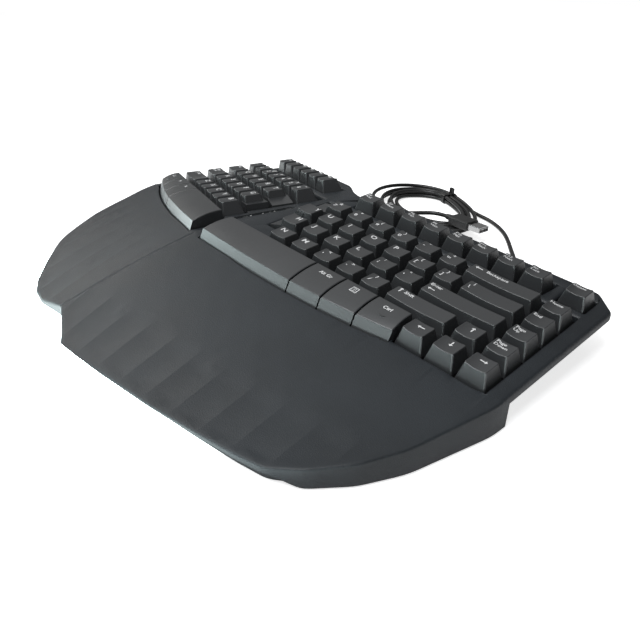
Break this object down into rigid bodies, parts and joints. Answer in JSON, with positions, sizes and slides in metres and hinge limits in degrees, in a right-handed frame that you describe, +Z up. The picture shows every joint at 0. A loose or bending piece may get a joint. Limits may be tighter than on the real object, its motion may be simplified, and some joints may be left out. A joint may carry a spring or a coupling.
{
  "type": "ergonomic split keyboard",
  "caption": "Wired ergonomic keyboard: tented split key field, curved palm rest, moving keys, tied cable hank.",
  "frame": {"origin": "centre of the case's outline, on the table that its feet stand on", "axes": "+X to the typist's right, +Y away from the typist, +Z up"},
  "size_m": [0.3938, 0.4036, 0.0548],
  "materials": {
    "key_plastic": "satin moulded keycap",
    "case_plastic": "fine textured moulded shell",
    "frame_plastic": "plain moulded",
    "dome_rubber": "silicone",
    "contact_film": "printed film",
    "plate_steel": "rolled sheet",
    "board_laminate": "green laminate",
    "window_plastic": "smoked window",
    "screw_steel": "zinc plated",
    "foot_rubber": "matt rubber",
    "cable_sheath": "smooth sheath",
    "tie_plastic": "coated wire tie",
    "plug_plastic": "moulded grip",
    "plug_steel": "pressed shell"
  },
  "bodies": {
    "case": {"top_case": "case_plastic", "bottom_case": "case_plastic", "key_frame_left": "frame_plastic", "key_frame_right": "frame_plastic", "dome_sheet_left": "dome_rubber", "dome_sheet_right": "dome_rubber", "contact_sheets": "contact_film", "back_plates": "plate_steel", "controller_board": "board_laminate", "indicator_window": "window_plastic", "case_screws": "screw_steel", "rubber_feet": "foot_rubber", "strain_relief": "cable_sheath", "cable_lead": "cable_sheath", "cable_coil": "cable_sheath", "cable_tie": "tie_plastic", "usb_plug": "plug_plastic", "usb_shell": "plug_steel"},
    "key_q": {"key_q": "key_plastic"},
    "key_w": {"key_w": "key_plastic"},
    "key_e": {"key_e": "key_plastic"},
    "key_r": {"key_r": "key_plastic"},
    "key_t": {"key_t": "key_plastic"},
    "key_a": {"key_a": "key_plastic"},
    "key_s": {"key_s": "key_plastic"},
    "key_d": {"key_d": "key_plastic"},
    "key_f": {"key_f": "key_plastic"},
    "key_g": {"key_g": "key_plastic"},
    "key_z": {"key_z": "key_plastic"},
    "key_x": {"key_x": "key_plastic"},
    "key_c": {"key_c": "key_plastic"},
    "key_v": {"key_v": "key_plastic"},
    "key_b": {"key_b": "key_plastic"},
    "key_y": {"key_y": "key_plastic"},
    "key_u": {"key_u": "key_plastic"},
    "key_i": {"key_i": "key_plastic"},
    "key_o": {"key_o": "key_plastic"},
    "key_p": {"key_p": "key_plastic"},
    "key_h": {"key_h": "key_plastic"},
    "key_j": {"key_j": "key_plastic"},
    "key_k": {"key_k": "key_plastic"},
    "key_l": {"key_l": "key_plastic"},
    "key_n": {"key_n": "key_plastic"},
    "key_m": {"key_m": "key_plastic"},
    "enter_key": {"enter_key": "key_plastic"},
    "backspace_key": {"backspace_key": "key_plastic"},
    "right_shift_key": {"right_shift_key": "key_plastic"},
    "left_shift_key": {"left_shift_key": "key_plastic"},
    "number_keys_right": {"number_keys_right": "key_plastic"},
    "number_keys_left": {"number_keys_left": "key_plastic"},
    "function_keys_right": {"function_keys_right": "key_plastic"},
    "function_keys_left": {"function_keys_left": "key_plastic"},
    "tab_and_caps_keys": {"tab_and_caps_keys": "key_plastic"},
    "punctuation_keys": {"punctuation_keys": "key_plastic"},
    "navigation_keys": {"navigation_keys": "key_plastic"},
    "arrow_keys": {"arrow_keys": "key_plastic"},
    "right_space_key": {"right_space_key": "key_plastic"},
    "right_modifier_keys": {"right_modifier_keys": "key_plastic"},
    "left_space_key": {"left_space_key": "key_plastic"},
    "left_modifier_keys": {"left_modifier_keys": "key_plastic"}
  },
  "joints": [
    {"name": "key_q_press", "type": "slide", "parent": "case", "child": "key_q", "axis": [0.1159, 0.0442, -0.9923], "range_m": [0, 0.0035], "stiffness_N_per_m": 160, "springref_m": -0.002},
    {"name": "key_w_press", "type": "slide", "parent": "case", "child": "key_w", "axis": [0.1159, 0.0442, -0.9923], "range_m": [0, 0.0035], "stiffness_N_per_m": 160, "springref_m": -0.002},
    {"name": "key_e_press", "type": "slide", "parent": "case", "child": "key_e", "axis": [0.1159, 0.0442, -0.9923], "range_m": [0, 0.0035], "stiffness_N_per_m": 160, "springref_m": -0.002},
    {"name": "key_r_press", "type": "slide", "parent": "case", "child": "key_r", "axis": [0.1159, 0.0442, -0.9923], "range_m": [0, 0.0035], "stiffness_N_per_m": 160, "springref_m": -0.002},
    {"name": "key_t_press", "type": "slide", "parent": "case", "child": "key_t", "axis": [0.1159, 0.0442, -0.9923], "range_m": [0, 0.0035], "stiffness_N_per_m": 160, "springref_m": -0.002},
    {"name": "key_a_press", "type": "slide", "parent": "case", "child": "key_a", "axis": [0.1159, 0.0442, -0.9923], "range_m": [0, 0.0035], "stiffness_N_per_m": 160, "springref_m": -0.002},
    {"name": "key_s_press", "type": "slide", "parent": "case", "child": "key_s", "axis": [0.1159, 0.0442, -0.9923], "range_m": [0, 0.0035], "stiffness_N_per_m": 160, "springref_m": -0.002},
    {"name": "key_d_press", "type": "slide", "parent": "case", "child": "key_d", "axis": [0.1159, 0.0442, -0.9923], "range_m": [0, 0.0035], "stiffness_N_per_m": 160, "springref_m": -0.002},
    {"name": "key_f_press", "type": "slide", "parent": "case", "child": "key_f", "axis": [0.1159, 0.0442, -0.9923], "range_m": [0, 0.0035], "stiffness_N_per_m": 160, "springref_m": -0.002},
    {"name": "key_g_press", "type": "slide", "parent": "case", "child": "key_g", "axis": [0.1159, 0.0442, -0.9923], "range_m": [0, 0.0035], "stiffness_N_per_m": 160, "springref_m": -0.002, "deforming": ["dome_sheet_left"]},
    {"name": "key_z_press", "type": "slide", "parent": "case", "child": "key_z", "axis": [0.1159, 0.0442, -0.9923], "range_m": [0, 0.0035], "stiffness_N_per_m": 160, "springref_m": -0.002},
    {"name": "key_x_press", "type": "slide", "parent": "case", "child": "key_x", "axis": [0.1159, 0.0442, -0.9923], "range_m": [0, 0.0035], "stiffness_N_per_m": 160, "springref_m": -0.002},
    {"name": "key_c_press", "type": "slide", "parent": "case", "child": "key_c", "axis": [0.1159, 0.0442, -0.9923], "range_m": [0, 0.0035], "stiffness_N_per_m": 160, "springref_m": -0.002},
    {"name": "key_v_press", "type": "slide", "parent": "case", "child": "key_v", "axis": [0.1159, 0.0442, -0.9923], "range_m": [0, 0.0035], "stiffness_N_per_m": 160, "springref_m": -0.002},
    {"name": "key_b_press", "type": "slide", "parent": "case", "child": "key_b", "axis": [0.1159, 0.0442, -0.9923], "range_m": [0, 0.0035], "stiffness_N_per_m": 160, "springref_m": -0.002},
    {"name": "key_y_press", "type": "slide", "parent": "case", "child": "key_y", "axis": [-0.1159, 0.0442, -0.9923], "range_m": [0, 0.0035], "stiffness_N_per_m": 160, "springref_m": -0.002},
    {"name": "key_u_press", "type": "slide", "parent": "case", "child": "key_u", "axis": [-0.1159, 0.0442, -0.9923], "range_m": [0, 0.0035], "stiffness_N_per_m": 160, "springref_m": -0.002},
    {"name": "key_i_press", "type": "slide", "parent": "case", "child": "key_i", "axis": [-0.1159, 0.0442, -0.9923], "range_m": [0, 0.0035], "stiffness_N_per_m": 160, "springref_m": -0.002},
    {"name": "key_o_press", "type": "slide", "parent": "case", "child": "key_o", "axis": [-0.1159, 0.0442, -0.9923], "range_m": [0, 0.0035], "stiffness_N_per_m": 160, "springref_m": -0.002},
    {"name": "key_p_press", "type": "slide", "parent": "case", "child": "key_p", "axis": [-0.1159, 0.0442, -0.9923], "range_m": [0, 0.0035], "stiffness_N_per_m": 160, "springref_m": -0.002},
    {"name": "key_h_press", "type": "slide", "parent": "case", "child": "key_h", "axis": [-0.1159, 0.0442, -0.9923], "range_m": [0, 0.0035], "stiffness_N_per_m": 160, "springref_m": -0.002, "deforming": ["dome_sheet_right"]},
    {"name": "key_j_press", "type": "slide", "parent": "case", "child": "key_j", "axis": [-0.1159, 0.0442, -0.9923], "range_m": [0, 0.0035], "stiffness_N_per_m": 160, "springref_m": -0.002},
    {"name": "key_k_press", "type": "slide", "parent": "case", "child": "key_k", "axis": [-0.1159, 0.0442, -0.9923], "range_m": [0, 0.0035], "stiffness_N_per_m": 160, "springref_m": -0.002},
    {"name": "key_l_press", "type": "slide", "parent": "case", "child": "key_l", "axis": [-0.1159, 0.0442, -0.9923], "range_m": [0, 0.0035], "stiffness_N_per_m": 160, "springref_m": -0.002},
    {"name": "key_n_press", "type": "slide", "parent": "case", "child": "key_n", "axis": [-0.1159, 0.0442, -0.9923], "range_m": [0, 0.0035], "stiffness_N_per_m": 160, "springref_m": -0.002},
    {"name": "key_m_press", "type": "slide", "parent": "case", "child": "key_m", "axis": [-0.1159, 0.0442, -0.9923], "range_m": [0, 0.0035], "stiffness_N_per_m": 160, "springref_m": -0.002},
    {"name": "enter_key_press", "type": "slide", "parent": "case", "child": "enter_key", "axis": [-0.1159, 0.0442, -0.9923], "range_m": [0, 0.0035], "stiffness_N_per_m": 160, "springref_m": -0.002},
    {"name": "backspace_key_press", "type": "slide", "parent": "case", "child": "backspace_key", "axis": [-0.1159, 0.0442, -0.9923], "range_m": [0, 0.0035], "stiffness_N_per_m": 160, "springref_m": -0.002},
    {"name": "right_shift_key_press", "type": "slide", "parent": "case", "child": "right_shift_key", "axis": [-0.1159, 0.0442, -0.9923], "range_m": [0, 0.0035], "stiffness_N_per_m": 160, "springref_m": -0.002},
    {"name": "left_shift_key_press", "type": "slide", "parent": "case", "child": "left_shift_key", "axis": [0.1159, 0.0442, -0.9923], "range_m": [0, 0.0035], "stiffness_N_per_m": 160, "springref_m": -0.002},
    {"name": "number_keys_right_press", "type": "slide", "parent": "case", "child": "number_keys_right", "axis": [-0.1159, 0.0442, -0.9923], "range_m": [0, 0.0035], "stiffness_N_per_m": 160, "springref_m": -0.002},
    {"name": "number_keys_left_press", "type": "slide", "parent": "case", "child": "number_keys_left", "axis": [0.1159, 0.0442, -0.9923], "range_m": [0, 0.0035], "stiffness_N_per_m": 160, "springref_m": -0.002},
    {"name": "function_keys_right_press", "type": "slide", "parent": "case", "child": "function_keys_right", "axis": [-0.1159, 0.0442, -0.9923], "range_m": [0, 0.0035], "stiffness_N_per_m": 160, "springref_m": -0.002},
    {"name": "function_keys_left_press", "type": "slide", "parent": "case", "child": "function_keys_left", "axis": [0.1159, 0.0442, -0.9923], "range_m": [0, 0.0035], "stiffness_N_per_m": 160, "springref_m": -0.002},
    {"name": "tab_and_caps_keys_press", "type": "slide", "parent": "case", "child": "tab_and_caps_keys", "axis": [0.1159, 0.0442, -0.9923], "range_m": [0, 0.0035], "stiffness_N_per_m": 160, "springref_m": -0.002},
    {"name": "punctuation_keys_press", "type": "slide", "parent": "case", "child": "punctuation_keys", "axis": [-0.1159, 0.0442, -0.9923], "range_m": [0, 0.0035], "stiffness_N_per_m": 160, "springref_m": -0.002},
    {"name": "navigation_keys_press", "type": "slide", "parent": "case", "child": "navigation_keys", "axis": [-0.1159, 0.0442, -0.9923], "range_m": [0, 0.0035], "stiffness_N_per_m": 160, "springref_m": -0.002},
    {"name": "arrow_keys_press", "type": "slide", "parent": "case", "child": "arrow_keys", "axis": [-0.1159, 0.0442, -0.9923], "range_m": [0, 0.0035], "stiffness_N_per_m": 160, "springref_m": -0.002},
    {"name": "right_space_key_press", "type": "slide", "parent": "case", "child": "right_space_key", "axis": [-0.1159, 0.0442, -0.9923], "range_m": [0, 0.0035], "stiffness_N_per_m": 160, "springref_m": -0.002},
    {"name": "right_modifier_keys_press", "type": "slide", "parent": "case", "child": "right_modifier_keys", "axis": [-0.1159, 0.0442, -0.9923], "range_m": [0, 0.0035], "stiffness_N_per_m": 160, "springref_m": -0.002},
    {"name": "left_space_key_press", "type": "slide", "parent": "case", "child": "left_space_key", "axis": [0.1159, 0.0442, -0.9923], "range_m": [0, 0.0035], "stiffness_N_per_m": 160, "springref_m": -0.002},
    {"name": "left_modifier_keys_press", "type": "slide", "parent": "case", "child": "left_modifier_keys", "axis": [0.1159, 0.0442, -0.9923], "range_m": [0, 0.0035], "stiffness_N_per_m": 160, "springref_m": -0.002}
  ]
}
